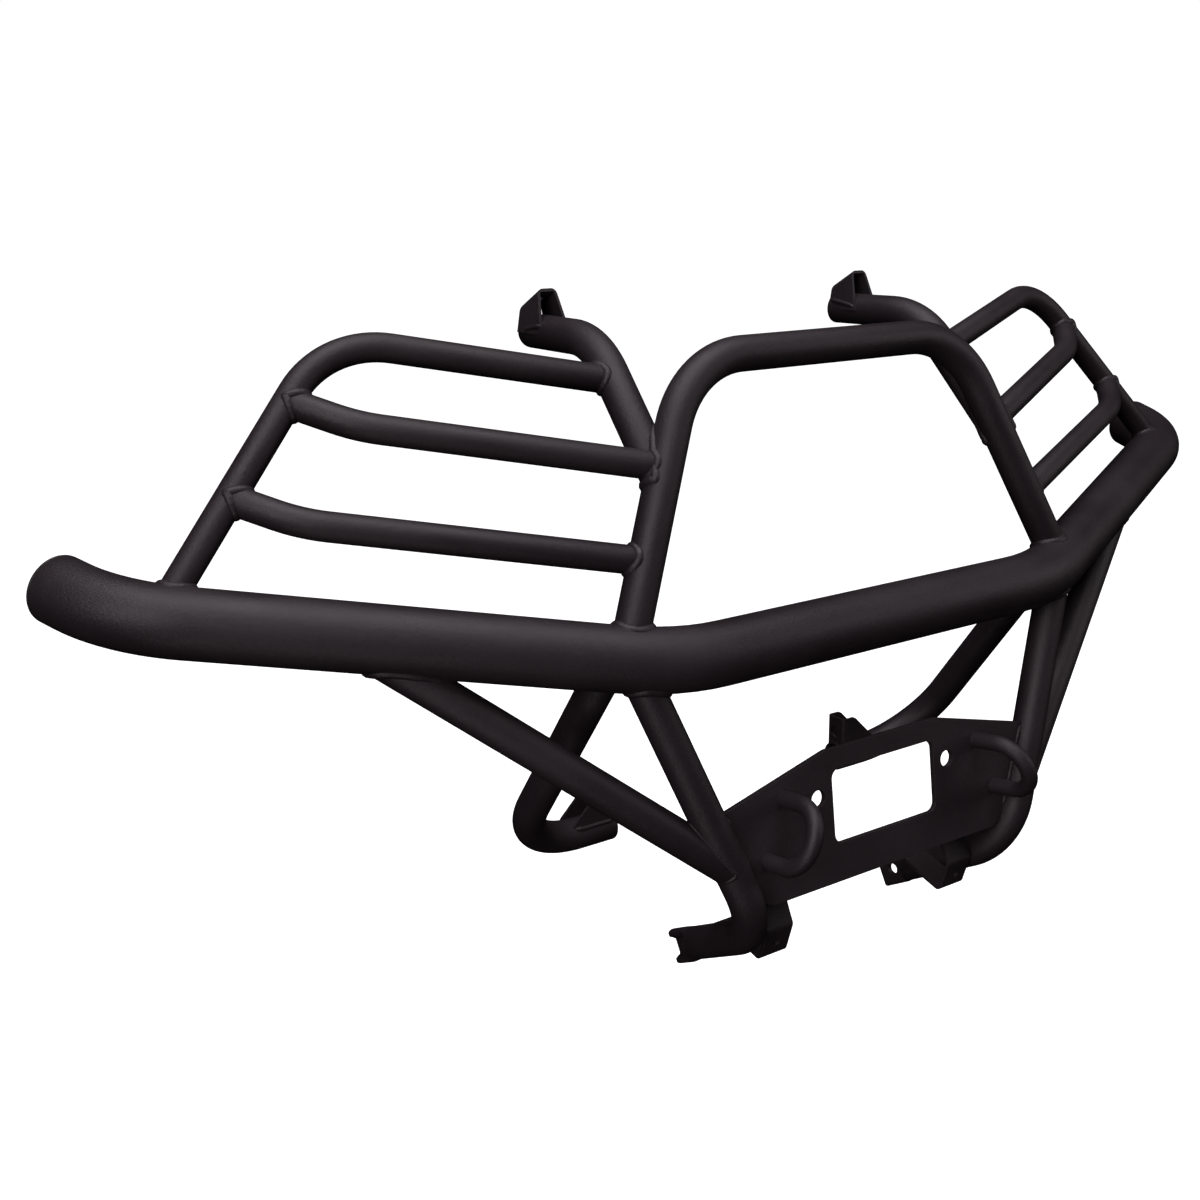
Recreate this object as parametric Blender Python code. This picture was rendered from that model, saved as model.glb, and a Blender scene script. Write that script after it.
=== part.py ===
"""Front grille guard for a small utility vehicle, welded up from bent round tube.

Frame: X runs across the vehicle, Y runs rearward and Z runs up, and the two halves mirror each other
about X = 0.  The origin is midway between the bolt holes in the flattened ends of the two lower legs.
Routes are written for the +X side.  Lengths are in metres.
"""
import math

import bmesh
import bpy
from mathutils import Matrix, Vector

# ---------------------------------------------------------------- tube stock
BAR_DIAMETER = 0.0508
FRAME_DIAMETER = 0.0286
WING_DIAMETER = 0.0222
LOOP_DIAMETER = 0.0140
BAR_WALL = 0.0026
FRAME_WALL = 0.0024
WING_WALL = 0.0020

# ---------------------------------------------------------------- clearances
GAP = 0.0003             # between faces that are welded together
PLUG_GAP = 0.0006        # between an end plug and the bore it is pressed into

# ---------------------------------------------------------------- main bar
BAR_FORWARD = 0.0881     # bar axis ahead of the origin
BAR_HEIGHT = 0.2935      # bar axis above the origin
BAR_HALF_STRAIGHT = 0.2086
WING_SWEEP = 0.3875      # rearward rise of the wings for each metre outward
WING_RISE = 0.1848       # upward rise of the wings for each metre outward
BAR_TURN_X = 0.5763      # where the wing turns rearward
BAR_END_SPLAY = 0.33   # outward part of the heading after that corner
BAR_END_LENGTH = 0.0600   # from that corner to the open end
BAR_CORNER_BEND = 0.2150
BAR_TURN_BEND = 0.0980

# ---------------------------------------------------------------- centre hoop
HOOP_FOOT_X = 0.2446
HOOP_TOP_X = 0.1481
HOOP_TOP_Y = -0.0236
HOOP_TOP_Z = 0.5094
HOOP_BEND = 0.0830

# ---------------------------------------------------------------- wing hoops
WING_FOOT_X = 0.5516
WING_TOP = (0.3917, 0.0934, 0.5319)
WING_BEND = 0.0757
WING_JOINT_Z = 0.4913    # height of its inner end on the support

# ---------------------------------------------------------------- rungs
RUNG_HOOP_Z = (0.4323, 0.3669)     # inner ends on the hoop leg: upper, lower
RUNG_WING_Z = (0.4902, 0.4295)     # outer ends on the wing hoop: upper, lower
RUNG_SET = (-0.0371, -0.0352, -0.0170)  # from the outer weld back to the rung's corner
RUNG_BEND = 0.0932

# ---------------------------------------------------------------- upper supports
SUPPORT_FOOT_Z = 0.4204
SUPPORT_CORNER_Y = 0.0488
SUPPORT_Z = 0.5206
SUPPORT_END_Y = 0.1500
SUPPORT_TOE = 0.0712     # inward for each metre rearward
SUPPORT_BEND = 0.0754

# ---------------------------------------------------------------- lower legs
LEG_TOP_X = 0.2408
LEG_CORNER = (0.1465, -0.1183, 0.0648)
LEG_HOLE_X = 0.1261
LEG_BEND = 0.0602
PINCH_BEYOND_HOLE = 0.0145   # open end beyond the bolt hole
PINCH_LENGTH = 0.0240   # flattened length
PINCH_BLEND = 0.0100   # from round to flat
PINCH_THICKNESS = 0.0110
PINCH_SPREAD = 1.08   # the flattened part is this much taller than the round tube
PINCH_OUTSET = 0.0035        # middle of the flattened part outboard of the tube's axis
PINCH_HOLE = 0.0105

# ---------------------------------------------------------------- braces
BRACE_TOP_X = 0.4355
BRACE_FOOT_Z = 0.1237

# ---------------------------------------------------------------- rear stays
STAY_TOP_X = 0.2466
STAY_TOP_RISE = 0.0170   # stay axis above the bar axis where they meet
STAY_CORNER_Y = 0.0988
STAY_CORNER_Z = 0.0821
STAY_END_X = 0.1390
STAY_BEND = 0.0740

# ---------------------------------------------------------------- winch plate
PLATE_THICKNESS = 0.0045
PLATE_LEAN = math.radians(7.35)    # the top edge leans rearward
PLATE_Y = -0.1052                  # front face at PLATE_Z
PLATE_Z = 0.1460
WINDOW_WIDTH = 0.1180
WINDOW_HEIGHT = 0.0626
WINDOW_CORNER = 0.008
FAIRLEAD_SPACING = 0.1502
FAIRLEAD_HOLE = 0.0145
FAIRLEAD_HOLE_RISE = 0.0110        # above the window's middle
CREST_HALF_WIDTH = 0.0640
CREST_RISE = 0.0495
SHOULDER_RISE = 0.0195             # where the top edge meets the legs
PLATE_DROP = 0.0640
PLATE_CHAMFER = 0.0120             # height of its cut lower corners
PLATE_BOTTOM_HALF_WIDTH = 0.1330

# ---------------------------------------------------------------- tow loops
LOOP_UPPER = (0.1113, 0.0200)      # upper foot: from the centre line, above the plate's middle
LOOP_LOWER = (0.1325, -0.0265)     # lower foot
LOOP_REACH = 0.0460
LOOP_SPLAY = 0.0030                # the rod's crown lies this much further out than its feet
LOOP_FLAT = 0.0005                 # half the straight between its two bends

# ---------------------------------------------------------------- lower brackets
STRAP_THICKNESS = 0.0040
LOWER_BRACKET_X = 0.1070
LOWER_BRACKET_WIDTH = 0.0280
LOWER_BRACKET_RUN = ((-0.0782, 0.0850), (-0.0950, 0.0490), (-0.0865, 0.0215),
                     (-0.0420, 0.0350), (-0.0205, 0.0225))
LOWER_BRACKET_HOLE = 0.0065

# ---------------------------------------------------------------- upper brackets
CHANNEL_THICKNESS = 0.0026
UPPER_BRACKET_WIDTH = 0.0178       # across its crest
UPPER_BRACKET_SPLAY = 0.17         # each cheek leans out this much for each metre down
UPPER_BRACKET_FRONT_Y = 0.1130
UPPER_BRACKET_CREST_Y = 0.1250
UPPER_BRACKET_REAR_Y = 0.1480
UPPER_BRACKET_CREST_RISE = 0.0360   # above the support's axis
UPPER_BRACKET_REAR_RISE = 0.0220
UPPER_BRACKET_HOLE = 0.0065

# ---------------------------------------------------------------- rear brackets
REAR_BRACKET_WEB_X = 0.1398
REAR_BRACKET_CROWN_X = 0.1550
REAR_BRACKET_TOE_X = 0.1850
REAR_BRACKET_TOE_RISE = 0.0120     # height of the cheeks' square toe above the stay's axis
REAR_BRACKET_DEPTH = 0.0230
REAR_BRACKET_RISE = 0.0410         # above the stay's axis
REAR_BRACKET_HOLE = 0.0120
REAR_BRACKET_HOLE_RISE = 0.0260

# ---------------------------------------------------------------- end plugs
PLUG_FLANGE = 0.0030
PLUG_DEPTH = 0.0100
PLUG_LEAD = 0.0010       # chamfer on the inner end of the spigot

# ---------------------------------------------------------------- cutters
OVERRUN = 0.020          # how far a cutter reaches past the face it cuts

# ---------------------------------------------------------------- mesh fineness
SIDES = 16
STEP_ANGLE = math.radians(13)
SHARP = math.radians(35)

# ---------------------------------------------------------------- finishes: colour, roughness, metallic
POWDER_COAT = ((0.022, 0.020, 0.022), 0.48, 0.0)
PLUG_PLASTIC = ((0.015, 0.015, 0.016), 0.55, 0.0)


def clear_scene():
    for item in list(bpy.data.objects):
        bpy.data.objects.remove(item, do_unlink=True)


def material(name, finish):
    colour, roughness, metallic = finish
    made = bpy.data.materials.new(name)
    made.use_nodes = True
    shader = made.node_tree.nodes["Principled BSDF"]
    shader.inputs["Base Color"].default_value = (*colour, 1.0)
    shader.inputs["Roughness"].default_value = roughness
    shader.inputs["Metallic"].default_value = metallic
    return made


def finish_object(bm, name, finish, merge=1e-6):
    """Turn a bmesh into a named, smooth-shaded object with its own material."""
    bmesh.ops.remove_doubles(bm, verts=bm.verts, dist=merge)
    bmesh.ops.recalc_face_normals(bm, faces=bm.faces)
    mesh = bpy.data.meshes.new(name)
    bm.to_mesh(mesh)
    bm.free()
    mesh.shade_smooth()
    mesh.set_sharp_from_angle(angle=SHARP)
    item = bpy.data.objects.new(name, mesh)
    bpy.context.scene.collection.objects.link(item)
    if finish is not None:
        mesh.materials.append(material(name, finish))
    return item


def as_cutter(item):
    item.hide_render = True
    item.display_type = "WIRE"
    return item


def cut(item, cutter):
    """Take the cutter's shape out of the item."""
    modifier = item.modifiers.new("cut_" + cutter.name, "BOOLEAN")
    modifier.operation = "DIFFERENCE"
    modifier.solver = "EXACT"
    modifier.object = cutter


# ---------------------------------------------------------------- routes along the tubes

def flip(point, side):
    return Vector((point[0] * side, point[1], point[2]))


def on_bar(x):
    """Point on the main bar's axis, at a distance x from the centre line (side +1)."""
    out = max(0.0, x - BAR_HALF_STRAIGHT)
    return Vector((x, -BAR_FORWARD + WING_SWEEP * out, BAR_HEIGHT + WING_RISE * out))


def at_height(low, high, z):
    """Point at height z on the line from low to high."""
    return low.lerp(high, (z - low.z) / (high.z - low.z))


def bar_route():
    turn = on_bar(BAR_TURN_X)
    rearward = Vector((BAR_END_SPLAY, 1.0, WING_RISE)).normalized()
    end = turn + rearward * BAR_END_LENGTH
    right = [on_bar(BAR_HALF_STRAIGHT), turn, end]
    left = [flip(p, -1) for p in reversed(right)]
    return left + right


def bar_bends():
    return [BAR_TURN_BEND, BAR_CORNER_BEND, BAR_CORNER_BEND, BAR_TURN_BEND]


def hoop_foot():
    return on_bar(HOOP_FOOT_X)


def hoop_top():
    return Vector((HOOP_TOP_X, HOOP_TOP_Y, HOOP_TOP_Z))


def on_hoop(z):
    return at_height(hoop_foot(), hoop_top(), z)


def hoop_route():
    return [flip(hoop_foot(), -1), flip(hoop_top(), -1), hoop_top(), hoop_foot()]


def support_route():
    foot = on_hoop(SUPPORT_FOOT_Z)
    corner, end = (Vector((foot.x - SUPPORT_TOE * (y - foot.y), y, SUPPORT_Z))
                   for y in (SUPPORT_CORNER_Y, SUPPORT_END_Y))
    return [foot, corner, end]


def wing_route():
    foot = on_bar(WING_FOOT_X)
    top = Vector(WING_TOP)
    support = support_route()
    inner = at_height(support[0], support[1], WING_JOINT_Z)
    return [foot, top, inner]


def on_wing(z):
    foot, top, _ = wing_route()
    return at_height(foot, top, z)


def rung_route(hoop_z, wing_z):
    """From the hoop leg outward ahead of the wing hoop's leg, then rearward onto it."""
    inner = on_hoop(hoop_z)
    weld = on_wing(wing_z)
    return [inner, weld + Vector(RUNG_SET), weld]


def leg_route():
    corner = Vector(LEG_CORNER)
    hole = Vector((LEG_HOLE_X, 0.0, 0.0))
    run = (hole - corner).normalized()
    return [on_bar(LEG_TOP_X), corner, hole + run * PINCH_BEYOND_HOLE]


def brace_route():
    top, corner, _ = leg_route()
    return [on_bar(BRACE_TOP_X), at_height(corner, top, BRACE_FOOT_Z)]


def stay_route():
    """From abreast of the bar's axis down to the rear, then inward to an open end."""
    on_axis = on_bar(STAY_TOP_X)
    top = on_axis + Vector((0.0, 0.0, STAY_TOP_RISE))
    corner = Vector((STAY_TOP_X, STAY_CORNER_Y, STAY_CORNER_Z))
    down = (corner - top).normalized()
    top += down * down.dot(on_axis - top)
    end = Vector((STAY_END_X, STAY_CORNER_Y, STAY_CORNER_Z))
    return [top, corner, end]


# ---------------------------------------------------------------- tube making

def bend_of(before, corner, after, radius):
    """Start point, centre, axis and angle of the arc that rounds a corner of a route."""
    incoming = (corner - before).normalized()
    outgoing = (after - corner).normalized()
    angle = incoming.angle(outgoing)
    tangent = radius * math.tan(angle / 2)
    axis = incoming.cross(outgoing).normalized()
    start = corner - incoming * tangent
    centre = start + axis.cross(incoming) * radius
    return start, centre, axis, angle


def skin(bm, route, bends, radius, sides=SIDES):
    """Sweep a circle along a route's straight runs and bends; return its two end loops."""
    points = [Vector(p) for p in route]
    heading = (points[1] - points[0]).normalized()
    place = Matrix.Translation(points[0]) @ heading.to_track_quat("Z", "Y").to_matrix().to_4x4()
    ring = bmesh.ops.create_circle(bm, cap_ends=False, segments=sides, radius=radius, matrix=place)
    first = list({edge for vert in ring["verts"] for edge in vert.link_edges})
    loop = first
    here = points[0]
    for index, bend in enumerate(bends):
        start, centre, axis, angle = bend_of(points[index], points[index + 1], points[index + 2], bend)
        loop = extrude_loop(bm, loop, start - here)
        steps = max(2, math.ceil(angle / STEP_ANGLE))
        spun = bmesh.ops.spin(bm, geom=loop, cent=centre, axis=axis, angle=angle, steps=steps)
        loop = [part for part in spun["geom_last"] if isinstance(part, bmesh.types.BMEdge)]
        here = centre + Matrix.Rotation(angle, 3, axis) @ (start - centre)
    loop = extrude_loop(bm, loop, points[-1] - here)
    return first, loop


def extrude_loop(bm, loop, offset):
    made = bmesh.ops.extrude_edge_only(bm, edges=loop)["geom"]
    bmesh.ops.translate(bm, verts=[v for v in made if isinstance(v, bmesh.types.BMVert)], vec=offset)
    return [edge for edge in made if isinstance(edge, bmesh.types.BMEdge)]


def hollow_out(item, wall):
    """Give an open skin its wall, inward, with closed rims."""
    modifier = item.modifiers.new("wall", "SOLIDIFY")
    modifier.thickness = wall
    modifier.offset = -1.0
    modifier.use_even_offset = True
    modifier.use_rim = True


def tube(name, route, bends, diameter, wall):
    """A hollow tube, open at both ends."""
    bm = bmesh.new()
    skin(bm, route, bends, diameter / 2)
    item = finish_object(bm, name, POWDER_COAT)
    hollow_out(item, wall)
    return item


def outline(name, route, bends, diameter):
    """A solid tube one weld gap fatter than the real one, to cope the tubes that meet it."""
    bm = bmesh.new()
    for loop in skin(bm, route, bends, diameter / 2 + GAP):
        bmesh.ops.edgeloop_fill(bm, edges=loop)
    return as_cutter(finish_object(bm, name, None))


# ---------------------------------------------------------------- flat plate making

def plate_solid(name, corners, thickness, place, finish=POWDER_COAT):
    """Extrude a flat outline (in the local XY plane) by a thickness along local +Z."""
    bm = bmesh.new()
    verts = [bm.verts.new((x, y, 0.0)) for x, y in corners]
    face = bm.faces.new(verts)
    made = bmesh.ops.extrude_face_region(bm, geom=[face])["geom"]
    top = [part for part in made if isinstance(part, bmesh.types.BMVert)]
    bmesh.ops.translate(bm, verts=top, vec=(0.0, 0.0, thickness))
    bmesh.ops.transform(bm, matrix=place, verts=bm.verts)
    item = finish_object(bm, name, finish)
    return item


def splay(item, middle_x, crest_z):
    """Lean a channel's cheeks outward below its crest."""
    for vert in item.data.vertices:
        outward = math.copysign(1.0, vert.co.x - middle_x)
        vert.co.x += outward * UPPER_BRACKET_SPLAY * (crest_z - vert.co.z)


def strap_outline(middle, thickness):
    """Closed outline of a strap of even thickness bent along a line of 2-D points."""
    points = [Vector(p) for p in middle]
    sides = ([], [])
    for index, point in enumerate(points):
        before = points[max(index - 1, 0)]
        after = points[min(index + 1, len(points) - 1)]
        into = (point - before).normalized() if index else (after - point).normalized()
        out = (after - point).normalized() if index < len(points) - 1 else into
        normal = Vector((-into.y - out.y, into.x + out.x)).normalized()
        reach = thickness / 2 / normal.dot(Vector((-into.y, into.x)))
        sides[0].append(point + normal * reach)
        sides[1].append(point - normal * reach)
    return [tuple(p) for p in sides[0] + sides[1][::-1]]


def drill(name, point, direction, diameter, length=OVERRUN, sides=20):
    """A round cutter centred on a point."""
    bm = bmesh.new()
    place = Matrix.Translation(point) @ Vector(direction).to_track_quat("Z", "Y").to_matrix().to_4x4()
    bmesh.ops.create_cone(bm, cap_ends=True, segments=sides, radius1=diameter / 2,
                          radius2=diameter / 2, depth=length, matrix=place)
    return as_cutter(finish_object(bm, name, None))


# ---------------------------------------------------------------- the pieces

def both_sides(points, side):
    return [flip(p, side) for p in points]


def side_name(name, side):
    return ("right_" if side > 0 else "left_") + name


def press_end(bm, loop, end, run, side):
    """Carry a tube's open end on past a blend, pressed to an upright oval."""
    across = across_run(run, side)
    upward = run.cross(across)
    loop = extrude_loop(bm, loop, run * PINCH_BLEND)
    centre = end - run * PINCH_LENGTH
    for vert in {v for edge in loop for v in edge.verts}:
        offset = vert.co - centre
        wide = offset.dot(across)
        squeezed = 2.0 * wide * PINCH_THICKNESS / FRAME_DIAMETER
        pressed = max(-PINCH_THICKNESS / 2, min(PINCH_THICKNESS / 2, squeezed)) + PINCH_OUTSET
        vert.co += across * (pressed - wide) + upward * offset.dot(upward) * (PINCH_SPREAD - 1.0)
    return extrude_loop(bm, loop, run * PINCH_LENGTH)


def across_run(run, side):
    """Sideways unit vector square to a run."""
    across = Vector((side, 0.0, 0.0))
    return (across - run * across.dot(run)).normalized()


def build_main_bar():
    bar = tube("main_bar", bar_route(), bar_bends(), BAR_DIAMETER, BAR_WALL)
    mould = outline("bar_outline", bar_route(), bar_bends(), BAR_DIAMETER)
    return bar, mould


def build_plug(side):
    """A thin rounded cap with a spigot pressed into the bar's open end."""
    route = both_sides(bar_route()[-2:], side)
    outward = (route[1] - route[0]).normalized()
    seat = route[1] + outward * GAP
    place = Matrix.Translation(seat) @ outward.to_track_quat("Z", "Y").to_matrix().to_4x4()
    bore = BAR_DIAMETER / 2 * math.cos(math.pi / SIDES) - BAR_WALL - PLUG_GAP
    bm = bmesh.new()
    rim = BAR_DIAMETER / 2
    profile = ((0.0, -PLUG_DEPTH), (bore - PLUG_LEAD, -PLUG_DEPTH), (bore, PLUG_LEAD - PLUG_DEPTH),
               (bore, 0.0), (rim, 0.0), (rim, PLUG_FLANGE / 2), (rim - PLUG_FLANGE / 2, PLUG_FLANGE * 0.85),
               (rim - 2 * PLUG_FLANGE, PLUG_FLANGE), (0.0, PLUG_FLANGE))
    verts = [bm.verts.new((radius, 0.0, height)) for radius, height in profile]
    edges = [bm.edges.new(pair) for pair in zip(verts, verts[1:])]
    bmesh.ops.spin(bm, geom=verts + edges, cent=(0, 0, 0), axis=(0, 0, 1), angle=math.tau,
                   steps=SIDES * 2, use_merge=True)
    bmesh.ops.transform(bm, matrix=place, verts=bm.verts)
    return finish_object(bm, side_name("end_plug", side), PLUG_PLASTIC, merge=1e-5)


def build_leg(side, bar_mould):
    route = both_sides(leg_route(), side)
    run = (route[-1] - route[-2]).normalized()
    round_route = route[:-1] + [route[-1] - run * (PINCH_LENGTH + PINCH_BLEND)]
    bm = bmesh.new()
    _, last = skin(bm, round_route, [LEG_BEND], FRAME_DIAMETER / 2)
    press_end(bm, last, route[-1], run, side)
    leg = finish_object(bm, side_name("lower_leg", side), POWDER_COAT)
    hollow_out(leg, FRAME_WALL)
    cut(leg, bar_mould)
    hole = flip(Vector((LEG_HOLE_X, 0.0, 0.0)), side)
    cut(leg, drill(side_name("leg_drill", side), hole, across_run(run, side), PINCH_HOLE,
                   length=2 * OVERRUN, sides=16))
    return leg, outline(side_name("leg_outline", side), round_route, [LEG_BEND], FRAME_DIAMETER)


def plate_place():
    up = Vector((0.0, math.sin(PLATE_LEAN), math.cos(PLATE_LEAN)))
    front = Vector((1.0, 0.0, 0.0)).cross(up)
    turn = Matrix((Vector((1.0, 0.0, 0.0)), up, front)).transposed().to_4x4()
    return Matrix.Translation((0.0, PLATE_Y, PLATE_Z)) @ turn


def leg_x(rise):
    """Distance from the centre line to a leg's axis, at a rise above the plate's middle."""
    top, corner, _ = leg_route()
    return at_height(corner, top, PLATE_Z + rise * math.cos(PLATE_LEAN)).x


def rounded_rectangle(width, height, radius, steps=4):
    corners = []
    for x, y, begin in ((1, 1, 0), (-1, 1, 1), (-1, -1, 2), (1, -1, 3)):
        for step in range(steps + 1):
            angle = (begin + step / steps) * math.pi / 2
            corners.append((x * (width / 2 - radius) + radius * math.cos(angle),
                            y * (height / 2 - radius) + radius * math.sin(angle)))
    return corners


def build_plate(leg_moulds):
    place = plate_place()
    back = Matrix.Translation((0.0, 0.0, -PLATE_THICKNESS))
    side_foot = PLATE_CHAMFER - PLATE_DROP
    right = [(PLATE_BOTTOM_HALF_WIDTH, -PLATE_DROP), (leg_x(side_foot), side_foot),
             (leg_x(SHOULDER_RISE), SHOULDER_RISE), (CREST_HALF_WIDTH, CREST_RISE)]
    outline_points = right + [(-x, y) for x, y in reversed(right)]
    plate = plate_solid("winch_plate", outline_points, PLATE_THICKNESS, place @ back)
    window = plate_solid("window_cutter", rounded_rectangle(WINDOW_WIDTH, WINDOW_HEIGHT, WINDOW_CORNER),
                         2 * OVERRUN, place @ Matrix.Translation((0.0, 0.0, -OVERRUN)), None)
    cut(plate, as_cutter(window))
    for side in (-1, 1):
        point = place @ Vector((side * FAIRLEAD_SPACING / 2, FAIRLEAD_HOLE_RISE, 0.0))
        cut(plate, drill(side_name("fairlead_drill", side), point, place.to_3x3().col[2], FAIRLEAD_HOLE))
    for mould in leg_moulds:
        cut(plate, mould)
    return plate


def build_loop(side):
    """A round rod bent into a U whose two feet stand on the plate's front face."""
    place = plate_place()
    upper, lower = (place @ Vector((side * x, y, GAP)) for x, y in (LOOP_UPPER, LOOP_LOWER))
    out = (place.to_3x3() @ Vector((side * LOOP_SPLAY, 0.0, LOOP_REACH)))
    bend = (upper - lower).length / 2 - LOOP_FLAT
    route = [upper, upper + out, lower + out, lower]
    bm = bmesh.new()
    for loop in skin(bm, route, [bend, bend], LOOP_DIAMETER / 2, sides=12):
        bmesh.ops.edgeloop_fill(bm, edges=loop)
    loop = finish_object(bm, side_name("tow_loop", side), POWDER_COAT)
    inner = LOOP_UPPER[0] - 2 * LOOP_DIAMETER
    outer = LOOP_LOWER[0] + 2 * LOOP_DIAMETER
    high = LOOP_UPPER[1] + 2 * LOOP_DIAMETER
    low = LOOP_LOWER[1] - 2 * LOOP_DIAMETER
    around = [(side * x, y) for x, y in ((inner, low), (outer, low), (outer, high), (inner, high))]
    trim = plate_solid(side_name("loop_trim", side), around, OVERRUN,
                       place @ Matrix.Translation((0.0, 0.0, GAP - OVERRUN)), None)
    cut(loop, as_cutter(trim))
    return loop


def shelf_end():
    """Where the lower bracket's top shelf, square to the winch plate, stops behind its rear face."""
    place = plate_place()
    corner = place.inverted() @ Vector((0.0, *LOWER_BRACKET_RUN[0]))
    end = place @ Vector((0.0, corner.y, -PLATE_THICKNESS - GAP))
    return end.y, end.z


def build_lower_bracket(side, leg_mould):
    """A strap bent from a shelf behind the plate round an open box to a tail on the lower leg."""
    profile = strap_outline((shelf_end(), *LOWER_BRACKET_RUN), STRAP_THICKNESS)
    turn = Matrix(((0, 0, 1), (1, 0, 0), (0, 1, 0))).to_4x4()
    start = side * LOWER_BRACKET_X - LOWER_BRACKET_WIDTH / 2
    place = Matrix.Translation((start, 0.0, 0.0)) @ turn
    bracket = plate_solid(side_name("lower_bracket", side), profile, LOWER_BRACKET_WIDTH, place)
    cut(bracket, leg_mould)
    top, bottom = (Vector((side * LOWER_BRACKET_X, *p)) for p in LOWER_BRACKET_RUN[1:3])
    facing = (bottom - top).cross(Vector((1.0, 0.0, 0.0)))
    cut(bracket, drill(side_name("lower_bracket_drill", side), (top + bottom) / 2, facing,
                       LOWER_BRACKET_HOLE, sides=14))
    return bracket


def build_upper_bracket(side, support_mould):
    """A channel on the support: two cheeks under a web that slopes down to the rear."""
    foot, _, _ = support_route()
    middle_x = foot.x - SUPPORT_TOE * (UPPER_BRACKET_CREST_Y - foot.y)
    crest = SUPPORT_Z + UPPER_BRACKET_CREST_RISE
    rear = SUPPORT_Z + UPPER_BRACKET_REAR_RISE
    outside = [(UPPER_BRACKET_FRONT_Y, SUPPORT_Z), (UPPER_BRACKET_REAR_Y, SUPPORT_Z),
               (UPPER_BRACKET_REAR_Y, rear), (UPPER_BRACKET_CREST_Y, crest)]
    turn = Matrix(((0, 0, 1), (1, 0, 0), (0, 1, 0))).to_4x4()
    start = side * middle_x - UPPER_BRACKET_WIDTH / 2
    bracket = plate_solid(side_name("upper_bracket", side), outside, UPPER_BRACKET_WIDTH,
                          Matrix.Translation((start, 0.0, 0.0)) @ turn)
    fall = Vector((UPPER_BRACKET_REAR_Y - UPPER_BRACKET_CREST_Y, rear - crest)).normalized()
    drop = Vector((fall.y, -fall.x)) * CHANNEL_THICKNESS
    high = Vector((UPPER_BRACKET_CREST_Y, crest)) + drop - fall * OVERRUN
    low = Vector((UPPER_BRACKET_REAR_Y, rear)) + drop + fall * OVERRUN
    under = SUPPORT_Z - OVERRUN
    hollow = [(high.x, under), (low.x, under), tuple(low), tuple(high)]
    hollow_width = UPPER_BRACKET_WIDTH - 2 * CHANNEL_THICKNESS
    inside = plate_solid(side_name("upper_bracket_hollow", side), hollow, hollow_width,
                         Matrix.Translation((start + CHANNEL_THICKNESS, 0.0, 0.0)) @ turn, None)
    for shape in (bracket, inside):
        splay(shape, side * middle_x, crest)
    cut(bracket, as_cutter(inside))
    cut(bracket, support_mould)
    web_middle = Vector((side * middle_x, (UPPER_BRACKET_CREST_Y + UPPER_BRACKET_REAR_Y) / 2,
                         (crest + rear) / 2))
    cut(bracket, drill(side_name("upper_bracket_drill", side), web_middle, (0.0, -drop.x, -drop.y),
                       UPPER_BRACKET_HOLE, length=4 * CHANNEL_THICKNESS, sides=14))
    return bracket


def build_rear_bracket(side, stay_mould):
    """A channel standing on the rear stay: an upright web and two tapered cheeks."""
    base = STAY_CORNER_Z
    top = base + REAR_BRACKET_RISE
    cheek = [(REAR_BRACKET_WEB_X, base), (REAR_BRACKET_TOE_X, base),
             (REAR_BRACKET_TOE_X, base + REAR_BRACKET_TOE_RISE), (REAR_BRACKET_CROWN_X, top),
             (REAR_BRACKET_WEB_X, top)]
    turn = Matrix(((1, 0, 0), (0, 0, 1), (0, 1, 0))).to_4x4()
    front = STAY_CORNER_Y - REAR_BRACKET_DEPTH / 2
    bracket = plate_solid(side_name("rear_bracket", side), [(side * x, z) for x, z in cheek],
                          REAR_BRACKET_DEPTH, Matrix.Translation((0.0, front, 0.0)) @ turn)
    inner = REAR_BRACKET_WEB_X + CHANNEL_THICKNESS
    outer = REAR_BRACKET_TOE_X + OVERRUN
    low = base - OVERRUN
    high = top + OVERRUN
    hollow = [(inner, low), (outer, low), (outer, high), (inner, high)]
    inside = plate_solid(side_name("rear_bracket_hollow", side), [(side * x, z) for x, z in hollow],
                         REAR_BRACKET_DEPTH - 2 * CHANNEL_THICKNESS,
                         Matrix.Translation((0.0, front + CHANNEL_THICKNESS, 0.0)) @ turn, None)
    cut(bracket, as_cutter(inside))
    cut(bracket, stay_mould)
    centre = Vector((side * REAR_BRACKET_WEB_X, STAY_CORNER_Y, base + REAR_BRACKET_HOLE_RISE))
    cut(bracket, drill(side_name("rear_bracket_drill", side), centre, (1.0, 0.0, 0.0), REAR_BRACKET_HOLE))
    return bracket


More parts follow.
